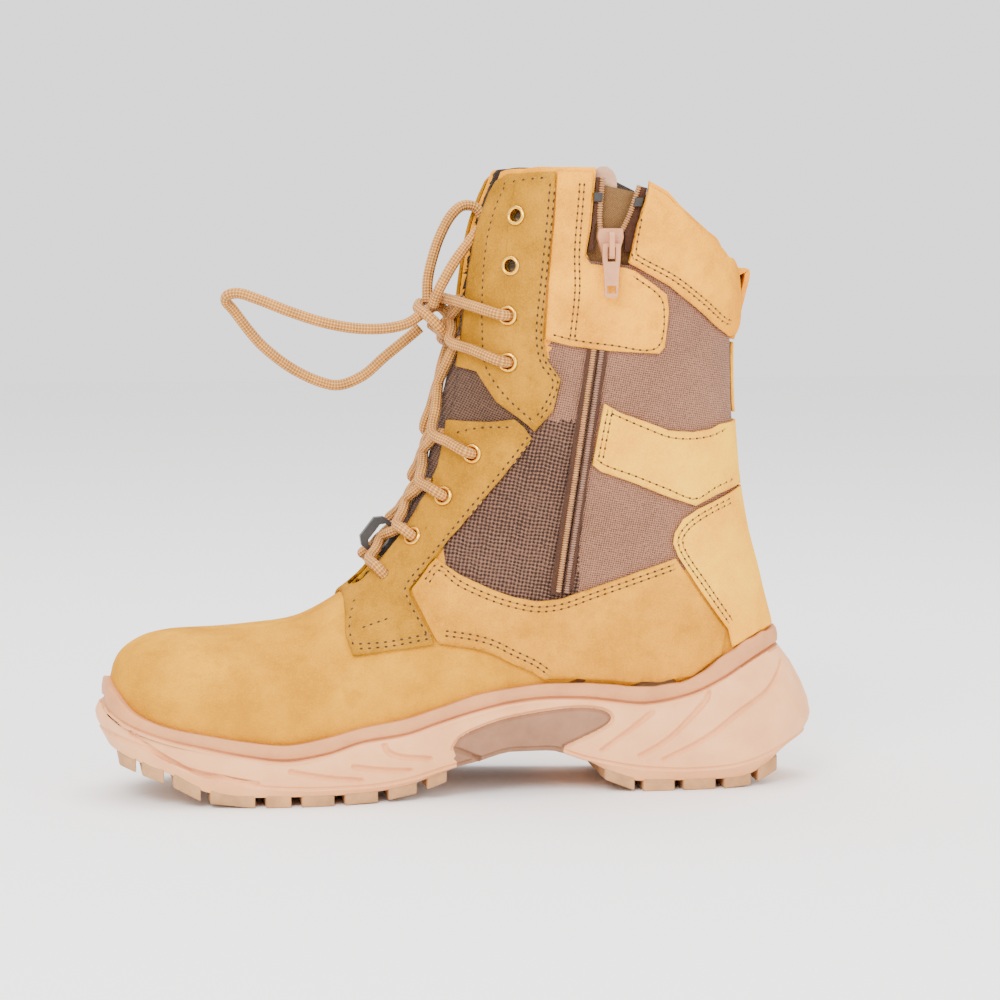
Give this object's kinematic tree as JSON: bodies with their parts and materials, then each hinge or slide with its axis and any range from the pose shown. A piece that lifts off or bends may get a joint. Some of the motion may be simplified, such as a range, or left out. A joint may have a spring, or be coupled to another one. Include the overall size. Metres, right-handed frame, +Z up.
{
  "type": "combat boot",
  "caption": "Lace-up suede and nylon boot with a side zip on a lugged rubber sole, hollow and standing upright.",
  "frame": {"origin": "middle of the sole's length and width, on the ground", "axes": "-X to the toe, +Z up, -Y the inner (medial) side"},
  "size_m": [0.312, 0.1096, 0.266],
  "materials": {
    "black_plastic": "plain",
    "braided_lace": "round braid",
    "brass_eyelets": "plain brass",
    "painted_zip": "satin paint",
    "rubber_sole": "moulded, semi-matt",
    "suede": "rough suede",
    "textile_lining": "brushed textile",
    "woven_nylon": "coarse plain weave"
  },
  "bodies": {
    "boot": {"ankle_strap": "suede", "backstay": "suede", "collar_pad": "suede", "collar_side_lateral": "suede", "eyelet_lateral_1": "brass_eyelets", "eyelet_lateral_2": "brass_eyelets", "eyelet_lateral_3": "brass_eyelets", "eyelet_lateral_4": "brass_eyelets", "eyelet_lateral_5": "brass_eyelets", "eyelet_lateral_6": "brass_eyelets", "eyelet_lateral_7": "brass_eyelets", "eyelet_medial_1": "brass_eyelets", "eyelet_medial_2": "brass_eyelets", "eyelet_medial_3": "brass_eyelets", "eyelet_medial_4": "brass_eyelets", "eyelet_medial_5": "brass_eyelets", "eyelet_medial_6": "brass_eyelets", "eyelet_medial_7": "brass_eyelets", "facing_lower": "suede", "facing_upper_lateral": "suede", "facing_upper_medial": "suede", "heel_counter": "suede", "insole": "textile_lining", "lace_crossing_1": "braided_lace", "lace_crossing_2": "braided_lace", "lace_crossing_3": "braided_lace", "lace_crossing_4": "braided_lace", "lace_crossing_5": "braided_lace", "lace_end_lateral": "braided_lace", "lace_end_medial": "braided_lace", "lace_keeper": "black_plastic", "lace_knot": "braided_lace", "lace_loop": "braided_lace", "lace_top": "braided_lace", "outsole": "rubber_sole", "pull_loop": "suede", "quarter_lateral": "suede", "quarter_medial": "suede", "tongue": "woven_nylon", "upper": "suede", "zip_edge_front": "woven_nylon", "zip_edge_rear": "woven_nylon", "zip_guard": "suede", "zip_gusset": "woven_nylon", "zip_slider": "painted_zip", "zip_stop_front": "black_plastic", "zip_stop_rear": "black_plastic", "zip_tape_front": "woven_nylon", "zip_tape_rear": "woven_nylon"},
    "zip_tab": {"zip_pull": "painted_zip"}
  },
  "joints": [
    {"name": "zip_pull_hinge", "type": "hinge", "parent": "boot", "child": "zip_tab", "pos_m": [0.05884, -0.04914, 0.23356], "axis": [-0.9999, 0.0171, 0], "range_deg": [0, 150]}
  ]
}
